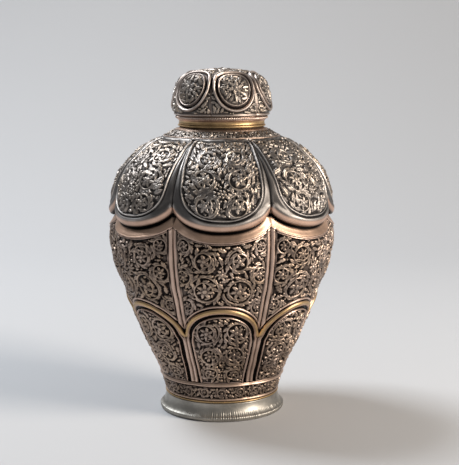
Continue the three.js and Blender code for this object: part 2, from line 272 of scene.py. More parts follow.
# Outlines as (radius, height) up a ridge, and how far the valleys are drawn in at each height
VALLEYS = curve_by_height([
    (0.3, BAND_TOP), (3.0, 30), (4.6, ARCH_CUSP), (3.8, 68), (5.4, 90), (6.0, 108), (4.8, PETAL_CUSP),
    (3.4, 131.5), (2.6, 150), (0.5, COLLAR_FOOT - 0.6), (0.0, SHOULDER_TOP)])
BELLY = Sheet([
    (33.3, BAND_BOTTOM), (35.9, BAND_TOP), (39.3, 28), (46.4, 42), (52.6, 56.5), (57.7, 71.5), (63.8, 86),
    (66.6, 104), (65.5, PETAL_CUSP + 3.6)], VALLEYS)
SHOULDER = Sheet([
    (66.3, PETAL_EDGE), (65.8, 122.9), (64.2, 131.5), (61.4, 139.1), (56.6, 146.3), (50.1, 152.5),
    (43.0, 157.5), (33.9, COLLAR_FOOT), (28.0, 165.0), (23.8, SHOULDER_TOP)], VALLEYS)
DOME = Sheet([
    (27.4, DOME_BOTTOM), (28.6, 175.6), (28.9, 180), (28.3, 184.5), (27.1, 188), (25.9, 191.6), (23.6, 194.9),
    (19.6, 197.5), (12.6, 199.2), (5.0, LID_TOP - 0.85), (0.0, LID_TOP - 0.7)],
    curve_by_height([(1.1, DOME_BOTTOM), (1.1, LID_TOP)]), LID_LOBES, LID_TURN)
ACROSS = BELLY.across(ANGLES)


def roundels(share, rows):
    """Swelling under a panel's roundels, two side by side in each row, share of the way down it."""
    column = np.where(np.abs(ACROSS) < PANEL_EDGE, -np.cos(3 * math.pi * ACROSS), 0)
    fade = ease(np.minimum(share, 1 - share) / 0.11)
    return -ROUNDEL_SWELL * column * np.cos(math.tau * rows * share) * fade


def unevenness(angle, run, size, seed):
    """Slow random rise and fall of hand-worked sheet, from -1 to 1, a size from crest to crest."""
    rng = np.random.default_rng(seed)
    total = 0
    for _ in range(7):
        waves = int(rng.uniform(0.2, 1.2) * math.tau * 55 / size)
        total = total + np.sin(waves * angle + rng.uniform(-1, 1) * math.tau / size * run + rng.uniform(0, 7))
    return total / 4


# Relief: leaves, stems and pearls raised on a raster

class Relief:
    """Heights over one panel on a fine raster: s runs across it from the ridge, t runs up it."""

    def __init__(self, half_width, low, high):
        self.left, self.low = -half_width, low
        self.s = np.arange(-half_width, half_width + PITCH, PITCH)
        self.t = np.arange(low, high + PITCH, PITCH)
        self.values = np.zeros((len(self.t), len(self.s)))

    def holding(self, values):
        """A raster of the same extent with values of its own."""
        other = copy.copy(self)
        other.values = values
        return other

    def grid(self):
        """Places of all the cells."""
        return np.meshgrid(self.s, self.t)

    def cells(self, s, t, reach):
        """Slices of the raster within reach of a place, or None where the place is off it."""
        first, last = int((s - reach - self.left) / PITCH), int((s + reach - self.left) / PITCH) + 2
        under, over = int((t - reach - self.low) / PITCH), int((t + reach - self.low) / PITCH) + 2
        first, under = max(0, first), max(0, under)
        last, over = min(len(self.s), last), min(len(self.t), over)
        return (slice(under, over), slice(first, last)) if first < last and under < over else None

    def stamp(self, s, t, reach, shape):
        """Raises the raster to a shape's heights, given as a function of offsets from a place."""
        cells = self.cells(s, t, reach)
        if cells:
            ds = self.s[cells[1]][None, :] - s
            dt = self.t[cells[0]][:, None] - t
            self.values[cells] = np.maximum(self.values[cells], shape(ds, dt))

    def at(self, s, t, beyond=9.0):
        """Value of the nearest cell, or another one off the raster."""
        column, row = int((s - self.left) / PITCH), int((t - self.low) / PITCH)
        rows, columns = self.values.shape
        return self.values[row, column] if 0 <= row < rows and 0 <= column < columns else beyond

    def sample(self, s, t):
        """Values between the cells, for arrays of places."""
        column = np.clip((s - self.left) / PITCH, 0, len(self.s) - 1.001)
        row = np.clip((t - self.low) / PITCH, 0, len(self.t) - 1.001)
        left, under = column.astype(int), row.astype(int)
        right_share, over_share = column - left, row - under
        lower = blend(self.values[under, left], self.values[under, left + 1], right_share)
        upper = blend(self.values[under + 1, left], self.values[under + 1, left + 1], right_share)
        return blend(lower, upper, over_share)

    def pearl(self, s, t, radius, height):
        """A half round drop."""
        def shape(ds, dt):
            return height * np.sqrt(np.clip(1 - (ds ** 2 + dt ** 2) / radius ** 2, 0, 1))

        self.stamp(s, t, radius, shape)

    def leaf(self, s, t, angle, length, half_width, height, bend=0.0):
        """A full, ribbed leaf with lobed edges, that starts at a place and curls to one side."""
        cosine, sine = math.cos(angle), math.sin(angle)
        middle_s, middle_t = s + cosine * length / 2, t + sine * length / 2

        def shape(ds, dt):
            ds, dt = ds + middle_s - s, dt + middle_t - t
            along = (ds * cosine + dt * sine) / length
            aside = dt * cosine - ds * sine - bend * length * along ** 2
            held = np.clip(along, 0, 1)
            lobes = 1 + 0.16 * np.cos(held * 6 * math.pi) * (half_width > 0.8)
            half = half_width * 2.15 * held ** 0.5 * (1 - held) ** 0.6 * lobes + 1e-4
            body = np.clip(1 - (aside / half) ** 2, 0, 1) ** 0.45
            rib = 1 - 0.35 * np.exp(-((aside / 0.17) ** 2)) * (held < 0.75) * (half_width > 0.4)
            return np.where((along > 0) & (along < 1), height * body * rib * (0.7 + 0.3 * held), 0)

        self.stamp(middle_s, middle_t, length * (0.6 + abs(bend)) + half_width, shape)

    def stem(self, path, width, height):
        """A round wire along a path of points."""
        for (s0, t0), (s1, t1) in zip(path[:-1], path[1:]):
            run_s, run_t = s1 - s0, t1 - t0
            square = run_s ** 2 + run_t ** 2 + 1e-9

            def shape(ds, dt):
                ds, dt = ds + run_s / 2, dt + run_t / 2
                share = np.clip((ds * run_s + dt * run_t) / square, 0, 1)
                apart = (ds - share * run_s) ** 2 + (dt - share * run_t) ** 2
                return height * np.sqrt(np.clip(1 - apart / width ** 2, 0, 1))

            self.stamp((s0 + s1) / 2, (t0 + t1) / 2, math.sqrt(square) / 2 + width, shape)

    def flower(self, s, t, radius, petals, height, turn=0.0):
        """A flower of whirled, leaf-shaped petals round a pearl."""
        start = 0.22 * radius
        for petal in range(petals):
            angle = turn + math.tau * petal / petals
            self.leaf(s + start * math.cos(angle), t + start * math.sin(angle), angle - 0.2, radius * 0.85,
                      radius * 1.8 / petals, height * 0.9, 0.3)
        self.pearl(s, t, radius * 0.34, height * 1.1)


def scroll(relief, rng, s, t, radius, hand, leaf, turns=1.35):
    """A spiral stem round a flower, with leaves that curl off its outer side."""
    eye = radius * 0.5
    steps = int(30 * turns)
    start = rng.uniform(0, math.tau)
    share = np.linspace(0, 1, steps + 1)
    angle = start + hand * turns * math.tau * share
    reach = radius + (eye - radius) * share ** 1.2
    path = list(zip(s + reach * np.cos(angle), t + reach * np.sin(angle)))
    relief.flower(s, t, eye * 1.05, int(rng.integers(5, 8)), 1.0, rng.uniform(0, 1))
    since = leaf
    for (s0, t0), (s1, t1) in zip(path[:-1], path[1:]):
        since += math.hypot(s1 - s0, t1 - t0)
        if since > leaf * 0.6:
            since = 0.0
            heading = math.atan2(t1 - t0, s1 - s0) - hand * rng.uniform(0.35, 0.6)
            length, height = leaf * rng.uniform(0.85, 1.1), rng.uniform(0.85, 1.0)
            relief.leaf(s0, t0, heading, length, leaf * 0.28, height, hand * rng.uniform(-0.1, 0.55))
    relief.stem(path, 0.6, 0.8)


def draw_scrolls(relief, rng, sheet, places, wander, leaf):
    """Scrolls at places of (hand, height, distance from the ridge, radius), each moved a little."""
    for hand, height, aside, radius in places:
        shift_s, shift_t = rng.uniform([-step for step in wander], wander)
        scroll(relief, rng, hand * aside + shift_s, sheet.run_at(height) + shift_t, radius, hand, leaf)


def fill(relief, rng, inside, leaf, tries=1500):
    """Leaves of falling size along a slow flow wherever there is room, and pearls in the rest.

    Inside is a function of a place that gives its distance into the field."""
    low_s, high_s, low_t, high_t = relief.s[0], relief.s[-1], relief.t[0], relief.t[-1]
    phase = rng.uniform(0, math.tau, 4)
    for size in (leaf, leaf * 0.78, leaf * 0.6, leaf * 0.45):
        for _ in range(tries):
            s, t = rng.uniform(low_s, high_s), rng.uniform(low_t, high_t)
            turn, bend = rng.uniform(-0.5, 0.5), rng.uniform(-0.6, 0.6)
            length, height = size * rng.uniform(0.9, 1.2), rng.uniform(0.75, 1.0)
            if inside(s, t) < 0.2 or relief.at(s, t) > 0.1:
                continue
            angle = turn + 1.7 * math.sin(s / 5 + phase[0]) + 1.7 * math.sin(t / 5 + phase[1])
            cosine, sine = math.cos(angle), math.sin(angle)
            spots = [(s + length * (along * cosine + (0.2 * aside - bend * along ** 2) * sine),
                      t + length * (along * sine - (0.2 * aside - bend * along ** 2) * cosine))
                     for along in (0.1, 0.5, 0.85) for aside in (-1, 0, 1)]
            if all(relief.at(*spot) < 0.3 and inside(*spot) > 0 for spot in spots):
                relief.leaf(s, t, angle, length, size * 0.3, height, bend)
    for _ in range(tries // 2):
        s, t = rng.uniform(low_s, high_s), rng.uniform(low_t, high_t)
        room = [relief.at(s + 0.55 * math.cos(angle), t + 0.55 * math.sin(angle)) < 0.1
                for angle in np.linspace(0, math.tau, 6, endpoint=False)]
        if inside(s, t) > 0.5 and all(room):
            relief.pearl(s, t, 0.6, 0.75)


def depth_within(outline, raster):
    """Raster of the distance into an outline, below zero outside it."""
    s, t = raster.grid()
    nearest = np.full(s.shape, 1e9)
    within = np.zeros(s.shape, bool)
    for (s0, t0), (s1, t1) in zip(outline, np.roll(outline, -1, axis=0)):
        run_s, run_t = s1 - s0, t1 - t0
        share = np.clip(((s - s0) * run_s + (t - t0) * run_t) / (run_s ** 2 + run_t ** 2 + 1e-12), 0, 1)
        nearest = np.minimum(nearest, (s - s0 - share * run_s) ** 2 + (t - t0 - share * run_t) ** 2)
        crosses = (t0 > t) != (t1 > t)
        with np.errstate(divide="ignore", invalid="ignore"):
            within ^= crosses & (s < s0 + (t - t0) * run_s / run_t)
    return raster.holding(np.where(within, 1, -1) * np.sqrt(nearest))


def depth_past_edge(sheet, edge, far_run, far_side, raster):
    """Raster of the distance past a scalloped edge, on the side of it where a far run lies."""
    across = np.linspace(-1, 1, 97)
    runs = sheet.run_at(edge(across))
    line = [(place * float(sheet.half_lobe(run)), run) for place, run in zip(across, runs)]
    corners = [(far_side, runs[0]), (far_side, far_run), (-far_side, far_run)]
    return depth_within(np.array([(-far_side, runs[0])] + line + corners), raster)


def ornament_heights(raster, field, draw, seed, lobe, s, t):
    """Heights of ornament that is drawn anew, and by chance, for each lobe, at places of a grid."""
    def inside(place, run):
        return field.at(place, run, beyond=-9.0)

    heights = np.zeros(s.shape)
    for index in range(lobe.max() + 1):
        relief = raster.holding(np.zeros_like(raster.values))
        draw(relief, np.random.default_rng(seed + index), inside, index)
        mine = lobe == index
        heights[:, mine] = relief.sample(s[:, mine], t[:, mine])
    return heights


def chased_heights(raster, field, draw, seed, s, t, swelling):
    """Heights of the ornament on a sheet of the vase, on swelling ground and rubbed flat on top."""
    heights = ornament_heights(raster, field, draw, seed, LOBE_AT, s, t)
    return np.minimum(GROUND + LEAF * heights + swelling, RUBBED)


# Meshes

def blur(values, rows, columns):
    """Mean over a window of rows and columns; the columns go round."""
    for axis, width in ((0, rows), (1, columns)):
        margin = [(0, 0), (0, 0)]
        margin[axis] = (width + 1, width)
        total = np.cumsum(np.pad(values, margin, mode="wrap" if axis else "edge"), axis=axis)
        count = 2 * width + 1
        top = np.take(total, range(count, total.shape[axis]), axis=axis)
        bottom = np.take(total, range(0, total.shape[axis] - count), axis=axis)
        values = (top - bottom) / count
    return values


def raise_sheet(sheet, angles, runs, relief, plain, brassy, gold=0.0, shade=0.0):
    """Points of a worked sheet's face and back, and its finish masks, the first with painted shade in it."""
    face = sheet.points(angles[None, :], runs)
    wrapped = np.pad(face, ((0, 0), (1, 1), (0, 0)), mode="wrap")
    outward = np.cross(np.gradient(wrapped, axis=1)[:, 1:-1], np.gradient(face, axis=0))
    outward /= np.linalg.norm(outward, axis=-1, keepdims=True) + 1e-9
    back_rows = (np.array(BACK_SHARES) * (len(runs) - 1)).astype(int)
    sunk = np.maximum(SHEET + 0.5, SHEET * 0.6 - blur(relief, 2, 2))
    back = (face - outward * sunk[..., None])[back_rows]
    face = face + outward * relief[..., None]
    # The finish's first mask: 0.5 on even metal, less in hollows and more on what stands out
    hollow = relief - blur(relief, AROUND, AROUND)
    # Shade is painted shade: from 0 to 1 it darkens this mask, and below 0 it lightens it
    worked = np.clip(0.5 + hollow * 0.6, 0, 1) * (1 - 0.6 * shade)
    finish = np.stack([worked, plain, brassy, gold * np.ones_like(plain)], axis=-1)
    points = np.concatenate([face, back, face[:1]])
    finish = np.concatenate([finish, finish[back_rows], finish[:1]])
    return points, finish


def finish_piece(piece, name, material, body, node):
    """Name, metal and place in the assembly of a piece that stands in for a node of the frame."""
    piece.name = piece.data.name = name
    bpy.ops.object.shade_smooth()
    piece.data.materials.append(material)
    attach(piece, body)
    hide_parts(node)


def write_piece(name, points, finish, material, body, node, merge=1e-7):
    """A closed piece on a grid of points, slimmed to its share of triangles."""
    rows, columns = points.shape[:2]
    bpy.ops.object.select_all(action="DESELECT")
    bpy.ops.mesh.primitive_grid_add(x_subdivisions=columns - 1, y_subdivisions=rows - 1, calc_uvs=False)
    piece = bpy.context.object
    piece.data.vertices.foreach_set("co", (points * MM).astype(np.float32).ravel())
    # The finish's first channel carries the painted shade as well as the tarnish of the hollows
    layer = piece.data.attributes.new("finish", "FLOAT_COLOR", "POINT")
    layer.data.foreach_set("color", finish.astype(np.float32).ravel())
    bpy.ops.object.mode_set(mode="EDIT")
    bpy.ops.mesh.select_all(action="SELECT")
    bpy.ops.mesh.remove_doubles(threshold=merge)
    bpy.ops.mesh.delete_loose()
    bpy.ops.mesh.select_all(action="SELECT")
    bpy.ops.mesh.fill_holes(sides=0)
    bpy.ops.object.mode_set(mode="OBJECT")
    triangles = 2 * (rows - 1) * (columns - 1)
    if triangles > MOST_TRIANGLES:
        slim = piece.modifiers.new("slim", "DECIMATE")
        slim.ratio = MOST_TRIANGLES / triangles
        bpy.ops.object.modifier_apply(modifier=slim.name)
    finish_piece(piece, name, material, body, node)


def some_lobes(values, first, last):
    """Columns of some lobes, counted from the one left of the front lobe."""
    rolled = np.concatenate([values[:, -1 - COLUMNS:-1], values[:, :-COLUMNS]], axis=1)
    return rolled[:, first * COLUMNS:last * COLUMNS + 1]


def front_and_back(name, points, finish, material, node):
    """The three lobes at the front and the four behind them, as two pieces that meet in valleys."""
    for part, first, last in (("front", 0, FRONT_LOBES), ("back", FRONT_LOBES, LOBES)):
        write_piece(f"{name}_{part}", some_lobes(points, first, last), some_lobes(finish, first, last),
                    material, "vase", node)


def lay_out(sheet, low, high):
    """Grid between two runs, given for each angle: its runs, places across a lobe, depth from the valley."""
    runs = low + (high - low) * np.linspace(0, 1, ROWS)[:, None]
    s = ACROSS * sheet.half_lobe(runs)
    return runs, s, sheet.from_valley(s, runs)


def plain_share(outside, softness=0.3):
    """1 on plain metal and 0 in a worked field, from the distance outside the field."""
    return ease(outside / softness + 0.5)


# Petals of the shoulder

PETAL_PLAIN = 7.3  # from a petal's lower edge to its ornament
PETAL_RASTER = 30.0  # half the width of a petal's raster
LIP_ROLL = 4.2  # height of the roll along the lower edge
ORNAMENT_MIDDLE = 136.5  # height where a petal's ornament is widest
ORNAMENT_TOP = 160.6
ORNAMENT_CORNER = 4.0
SWELLING_TOP = 160.0
OVAL = 0.86  # a little squarer than an ellipse
PETAL_LEAVES = (5.0, 5.6, 4.6)  # their lengths, in turn from petal to petal
# Scrolls: their hand, and the height, the distance from the ridge and the radius of each pair
PETAL_SCROLLS = [(hand, *place) for place in ((127.8, 9.8, 7.0), (140.8, 9.8, 7.4), (152.6, 7.6, 5.8))
                 for hand in (-1, 1)]
HEART = 134.3  # height of the rings of pearls in a petal's middle


def petal_side(run):
    """Distance from the ridge to the side of a petal's ornament."""
    rim = np.interp(SHOULDER.height(run), [130, 142, 152, 161], [6.9, 5.2, 3.6, 2.0])
    return SHOULDER.half_lobe(run) - rim


def petal_outline():
    """Edge of a petal's ornament: a half oval below, sides that lean in above it, round corners."""
    middle, top = SHOULDER.run_at(ORNAMENT_MIDDLE), SHOULDER.run_at(ORNAMENT_TOP)
    bottom = SHOULDER.run_at(PETAL_EDGE + PETAL_PLAIN)
    half, corner = petal_side(middle), ORNAMENT_CORNER
    oval = [(half * np.sign(math.cos(turn)) * abs(math.cos(turn)) ** OVAL,
             middle - (middle - bottom) * math.sin(turn) ** OVAL) for turn in np.linspace(0, math.pi, 49)]
    end = petal_side(top - corner)
    side = [(petal_side(run), run) for run in np.linspace(middle, top - corner, 12)[1:]]
    side += [(end - corner * (1 - math.cos(turn)), top - corner + corner * math.sin(turn))
             for turn in np.linspace(0, math.pi / 2, 8)[1:]]
    return np.array(oval + [(-s, t) for s, t in side] + side[::-1])


def draw_petal(relief, rng, inside, index):
    """Scrolls in pairs up the petal, rings of pearls in the middle, leaves in all that is left."""
    leaf = PETAL_LEAVES[index % len(PETAL_LEAVES)]
    draw_scrolls(relief, rng, SHOULDER, PETAL_SCROLLS, (0.9, 0.9), leaf)
    heart = SHOULDER.run_at(HEART)
    for ring, count in ((1.9, 6), (4.0, 11)):
        for angle in np.linspace(0, math.tau, count, endpoint=False) + ring:
            relief.pearl(ring * math.cos(angle), heart + ring * math.sin(angle), 0.85, 1.1)
    relief.pearl(0, heart, 0.9, 1.15)
    fill(relief, rng, inside, leaf)


def petal_rim(outside, over_lip, from_valley, from_top):
    """Heights of a petal's plain metal: the rolled lip, and the rim that dies into the lines."""
    rim = 0.1 + 0.6 * ease(1 - (over_lip - LIP_ROLL) / 2.8)
    rim = np.where(over_lip < LIP_ROLL, -1.5 + 2.2 * rounded(over_lip / LIP_ROLL), rim)
    height = rim * ease((outside - 1.2) / 1.9)
    height += ridges(outside, (0.35, 0.95, 0.5), (-0.55, 0.25, 0.5))
    height += ridges(outside, (-0.35, 1.9, 0.7))
    height = -0.55 + (height + 0.55) * rounded(from_valley / 1.6)
    return height + ridges(from_top, (-0.5, 1.4, 0.5), (0.3, 0.6, 0.6))


def make_shoulder(material):
    """Seven petals with rolled lips round their chased ornament."""
    top = SHOULDER.run_at(COLLAR_FOOT)
    runs, s, from_valley = lay_out(SHOULDER, SHOULDER.run_at(petal_edge(ACROSS)), top)
    raster = Relief(PETAL_RASTER, -6.0, top + 1.0)
    field = depth_within(petal_outline(), raster)
    outside = -field.sample(s, runs) + 0.13 * unevenness(ANGLES, runs, STRAY_WAVE, 1)
    past_edge = depth_past_edge(SHOULDER, petal_edge, 99.0, 34.0, raster)
    over_lip = np.maximum(past_edge.sample(s, runs), 0)
    plain = plain_share(outside)
    plain_height = petal_rim(outside, over_lip, from_valley, top - runs)
    down = (SWELLING_TOP - SHOULDER.height(runs)) / (SWELLING_TOP - (petal_edge(ACROSS) + PETAL_PLAIN))
    worked = chased_heights(raster, field, draw_petal, 100, s, runs, roundels(down, 3))
    relief = blend(worked, plain_height, plain) + 0.12 * unevenness(ANGLES, runs, SURFACE_WAVE, 2)
    brassy = plain * ease(1 - (over_lip - 2.6) / 1.4)
    # Painted shade on the lip's roll, which faces down: darkest at the lower edge, fading out 3.3 mm up from
    # it
    painted_underside_shade = 0.75 * ease(1 - (over_lip - 0.3) / 3.0)
    points, finish = raise_sheet(SHOULDER, ANGLES, runs, relief, plain, brassy, shade=painted_underside_shade)
    front_and_back("shoulder", points, finish, material, "shoulder_shell")


# Belly under the petals

COVE = 5.3  # height of the hollow band under a petal
COVE_LINES = ((0.35, COVE + 0.25, 0.5), (-0.4, COVE + 0.8, 0.4), (0.2, COVE + 1.2, 0.4))
STRIP = 2.5  # plain strip beside a valley
TUCK = 1.4  # how far the belly goes on under the petals
FAR_SIDE = 36.0  # past every valley
BELLY_RASTER = 31.5
BELLY_LEAF = 4.8
BELLY_SCROLLS = [(hand, *place) for hand in (-1, 1)
                 for place in ((81.0, 9.6, 8.8), (98.6, 10.0, 6.6), (89.5, 21.8, 5.6), (71.0, 20.5, 4.6),
                               (105.5, 22.0, 4.6))]


def draw_belly(relief, rng, inside, index):
    """Scrolls down both halves of the panel, a flower between them and leaves in what is left."""
    draw_scrolls(relief, rng, BELLY, BELLY_SCROLLS, (0.8, 0.8), BELLY_LEAF)
    relief.flower(0, BELLY.run_at(91.0), 3.0, 7, 1.05, rng.uniform(0, 1))
    fill(relief, rng, inside, BELLY_LEAF)


def belly_field(raster, under_petal, over_arch):
    """Raster of the distance into a panel, from its cove, its strips and its arch."""
    from_strip = BELLY.from_valley(*raster.grid()) - (STRIP + 1.0)
    below_cove = under_petal.values - (COVE + 1.5)
    return raster.holding(np.minimum.reduce([below_cove, over_arch.values - 1.7, from_strip]))


def belly_strips(from_valley):
    """Heights of the plain strips beside a valley, each a low roll between two grooves."""
    height = 0.45 * rounded(from_valley / 1.0) - 0.45
    height = height + ridges(from_valley, (0.3, STRIP * 0.55, STRIP * 0.55))
    return height + ridges(from_valley, (-0.6, STRIP + 0.4, 0.6))


def belly_cove(under, from_valley):
    """Heights of the hollow band, deepest under the petal."""
    height = -1.9 * ease(1 - (under - 1.2) / (COVE - 1.2)) ** 0.8 - 0.9 * ease(1 - under / 2.4)
    return height - 0.25 * (1 - rounded(from_valley / 1.2))


def make_belly(material):
    """Seven chased panels between the petals and the arches, each with a cove above it."""
    low, high = BELLY.run_at(arch_top(ACROSS) - 0.4), BELLY.run_at(petal_edge(ACROSS) + TUCK)
    runs, s, from_valley = lay_out(BELLY, low, high)
    raster = Relief(BELLY_RASTER, float(low.min()) - 1, float(high.max()) + 1)
    under_petal = depth_past_edge(BELLY, petal_edge, -20.0, FAR_SIDE, raster)
    over_arch = depth_past_edge(BELLY, arch_top, 160.0, FAR_SIDE, raster)
    field = belly_field(raster, under_petal, over_arch)
    stray = STRAY * unevenness(ANGLES, runs, STRAY_WAVE, 3)
    under = under_petal.sample(s, runs) + stray
    over = over_arch.sample(s, runs) - stray
    from_valley = from_valley + stray
    plain = plain_share(-field.sample(s, runs))
    in_cove = ease((COVE + 0.4 - under) / 0.5)
    plain_height = blend(belly_strips(from_valley), belly_cove(under, from_valley), in_cove)
    plain_height += ridges(under, *COVE_LINES)
    plain_height = plain_height - 0.7 * bump(over, 0.1, 0.6) + 0.2 * bump(over, 0.95, 0.45)
    plain_height = np.where(under < 0.2, -2.8, plain_height)
    top = petal_edge(ACROSS) - 6.0
    down = (top - BELLY.height(runs)) / (top - arch_top(ACROSS))
    worked = chased_heights(raster, field, draw_belly, 300, s, runs, roundels(down, 2))
    relief = blend(worked, plain_height, plain) + 0.12 * unevenness(ANGLES, runs, SURFACE_WAVE, 4)
    relief = np.where(over < 0, -1.0, relief)
    brassy = plain * np.maximum(in_cove, 0.48)
    # Painted shade: a shadow line under the petals' lips, and darker metal along the valleys
    shade = np.minimum(ease(1 - (under - 0.2) / 2.2) + 0.5 * ease(1 - from_valley / 0.8), 1)
    points, finish = raise_sheet(BELLY, ANGLES, runs, relief, plain, brassy, 0.15 * in_cove, shade)
    front_and_back("belly", points, finish, material, "belly_shell")


# Arches round the foot of the belly

MOULDING = 3.4  # width of an arch's round moulding
MOULDING_MIDDLE = MOULDING * 0.45
PILASTER = 2.1  # half the plain strip between two arches
INSET = 3.0  # from an arch's opening to its ornament
SOFTNESS = 2.5  # how softly moulding and pilaster meet
ARCH_RASTER = 28.5
ARCH_LEAF = 4.2
ARCH_SCROLLS = [(hand, *place) for place in ((28.8, 6.6, 4.8), (41.0, 6.4, 6.4), (55.0, 8.2, 7.4))
                for hand in (-1, 1)]


def draw_arch(relief, rng, inside, index):
    """Scrolls in pairs up the arch, and leaves in all that is left."""
    draw_scrolls(relief, rng, BELLY, ARCH_SCROLLS, (0.6, 1.0), ARCH_LEAF)
    fill(relief, rng, inside, ARCH_LEAF)


def arch_opening(raster, under_arch):
    """Raster of the distance into an opening, which is round where moulding and pilaster meet."""
    from_arch = under_arch.values - MOULDING
    from_side = BELLY.from_valley(*raster.grid()) - PILASTER
    mix = np.clip(0.5 + 0.5 * (from_side - from_arch) / SOFTNESS, 0, 1)
    return raster.holding(blend(from_side, from_arch, mix) - SOFTNESS * mix * (1 - mix))


def arch_frame(under, into, from_valley, up):
    """Heights of the plain metal: pilasters, round mouldings and the groove and lines in the opening."""
    pilaster = -0.1 + 0.6 * rounded(from_valley / 0.9)
    moulding = 1.5 * bump(under, MOULDING_MIDDLE, MOULDING * 0.42) - 0.6
    groove = -1.5 * bump(into, 1.0, 1.15) ** 0.5
    lines = ridges(into, (0.3, 2.35, 0.4), (-0.4, 2.9, 0.3))
    height = np.where(into > 0, groove + lines, pilaster * rounded(-into / 0.5))
    beside = np.where(under > MOULDING * 0.6, height, -1)
    height = np.where(under < MOULDING, np.maximum(moulding, beside), height)
    return height * ease((up - 0.3) / 0.5) - 0.4 * bump(up, 0.45, 0.45)


def make_arches(material):
    """Seven chased arches with round mouldings, on plain pilasters."""
    bottom = float(BELLY.run_at(BAND_TOP + BAND_LINES - 0.3))
    top = BELLY.run_at(arch_top(ACROSS) + 0.1)
    runs, s, from_valley = lay_out(BELLY, bottom, top)
    raster = Relief(ARCH_RASTER, bottom - 1, float(top.max()) + 1)
    under_arch = depth_past_edge(BELLY, arch_top, -40.0, FAR_SIDE, raster)
    opening = arch_opening(raster, under_arch)
    field = raster.holding(np.minimum(opening.values - INSET, raster.grid()[1] - bottom - 0.9))
    under = under_arch.sample(s, runs)
    into = opening.sample(s, runs) + STRAY * unevenness(ANGLES, runs, STRAY_WAVE, 5)
    plain = plain_share(-field.sample(s, runs))
    plain_height = arch_frame(under, into, from_valley, runs - bottom)
    crown = arch_top(ACROSS) - 3.9
    down = (crown - BELLY.height(runs)) / (crown - BAND_TOP - 1.6)
    worked = chased_heights(raster, field, draw_arch, 500, s, runs, roundels(down, 2))
    relief = blend(worked, plain_height, plain) + 0.1 * unevenness(ANGLES, runs, SURFACE_WAVE, 6)
    on_moulding = ease((MOULDING + 0.4 - under) / 0.4)
    flanks = ease((np.abs(under - MOULDING_MIDDLE) - 0.7) / 0.8)
    # Painted shade on the moulding's flanks and in the groove inside each opening
    shade = 0.8 * np.maximum(on_moulding * flanks, bump(into, 1.0, 1.4))
    brassy = plain * np.maximum(on_moulding, 0.42)
    gold = on_moulding * (1 - flanks)
    points, finish = raise_sheet(BELLY, ANGLES, runs, relief, plain, brassy, gold, shade)
    front_and_back("arches", points, finish, material, "belly_shell")


# Bands: one raster goes all round

WAVES = 3 * LOBES  # scrolls round a band
BAND_TURNS = 1.1
BAND_SCROLL_LEAF = 3.6
BAND_LEAF = 3.8
BAND_TRIES = 4200


def make_band(name, sheet, low, high, seed, lines_of, material, node):
    """A chased band round the vase, with a running scroll between its lines."""
    angles = np.linspace(-math.pi, math.pi, LOBES * COLUMNS + 1)
    rows = max(24, int((high - low) / BAND_ROW))
    runs = np.linspace(low, high, rows)[:, None] * np.ones((1, len(angles)))
    radius = float(sheet.radius((low + high) / 2))
    s = angles[None, :] * radius * np.ones_like(runs)
    plain_height, inset_low, inset_high = lines_of(runs - low, high - low)
    first, last = low + inset_low, high - inset_high
    rng = np.random.default_rng(seed)
    raster = Relief(math.pi * radius, low, high)
    for wave in range(WAVES):
        centre = (wave + 0.5) * (math.tau * radius / WAVES) - math.pi * radius
        hand = 1 if wave % 2 else -1
        scroll(raster, rng, centre, (first + last) / 2 + hand * 0.3, (last - first) * 0.4, hand,
               BAND_SCROLL_LEAF, BAND_TURNS)

    def inside(place, run):
        return min(run - first, last - run)

    fill(raster, rng, inside, BAND_LEAF, BAND_TRIES)
    worked = GROUND * SHALLOW + LEAF * SHALLOW_LEAF * raster.sample(s, runs)
    plain = plain_share(np.maximum(first - runs, runs - last))
    relief = blend(worked, plain_height, plain)
    points, finish = raise_sheet(sheet, angles, runs, relief, plain, plain * 0.5, 0.2)
    write_piece(name, points, finish, material, "vase", node)


def base_band_lines(up, whole):
    """Bead and double line over the base band and the line under it, and how far each side takes."""
    down = whole - up
    height = ridges(up, (0.3, 0.6, 0.6), (-0.4, 1.3, 0.35))
    height += ridges(down, (0.75, 1.5, 0.75), (-0.4, 2.45, 0.4), (0.2, 0.45, 0.35))
    return height - 0.3 * bump(down, 0.0, 0.3), 1.5, 2.9


def collar_band_lines(up, whole):
    """Lines along the outer and inner edge of the ring round the neck, and how far each side takes."""
    height = ridges(up, (0.45, 0.45, 0.5), (-0.4, 1.1, 0.35))
    height += ridges(whole - up, (0.2, 3.2, 0.4), (-0.3, 3.8, 0.35))
    return height - 0.1, 1.4, 4.1


# Lid

MEDALLION = 13.1  # middle of a medallion's ring
MEDALLION_RISE = 16.9  # its centre, up the dome
MEDALLION_SQUEEZE = 1.07  # taller than it is wide by this share
EYE = 9.7  # radius of the worked field inside it
CROWN = 9.0  # radius of the rosette on top
LID_RASTER = 15.6
DOME_RUN = float(DOME.runs[-1])  # from the dome's foot to its pole
POLE_MERGE = 3e-5  # metres, joins the crowded points round the pole


def draw_medallion(relief, rng, inside, index):
    """A flower with a wreath of leaves and pearls round it, and leaves in all that is left."""
    relief.flower(0, MEDALLION_RISE, 4.0, 6, 1.0, rng.uniform(0, 1))
    for petal in range(8):
        turn = math.tau * petal / 8 + rng.uniform(-0.15, 0.15)
        gap = turn + 0.4
        foot_s, foot_t = 4.2 * math.cos(turn), MEDALLION_RISE + 4.2 * math.sin(turn)
        relief.leaf(foot_s, foot_t, turn + 0.5, 4.4, 1.1, 0.95, -0.3)
        relief.pearl(4.6 * math.cos(gap), MEDALLION_RISE + 4.6 * math.sin(gap), 0.6, 0.9)
    fill(relief, rng, inside, 4.0)


def crown_heights(points):
    """The rosette on the lid's top, at points of the dome."""
    crown = Relief(CROWN + 1.0, -CROWN - 1.0, CROWN + 1.0)
    crown.flower(0, 0, 8.6, 12, 0.85)
    crown.flower(0, 0, 4.6, 8, 1.1, 0.3)
    return crown.sample(points[..., 0], points[..., 1])


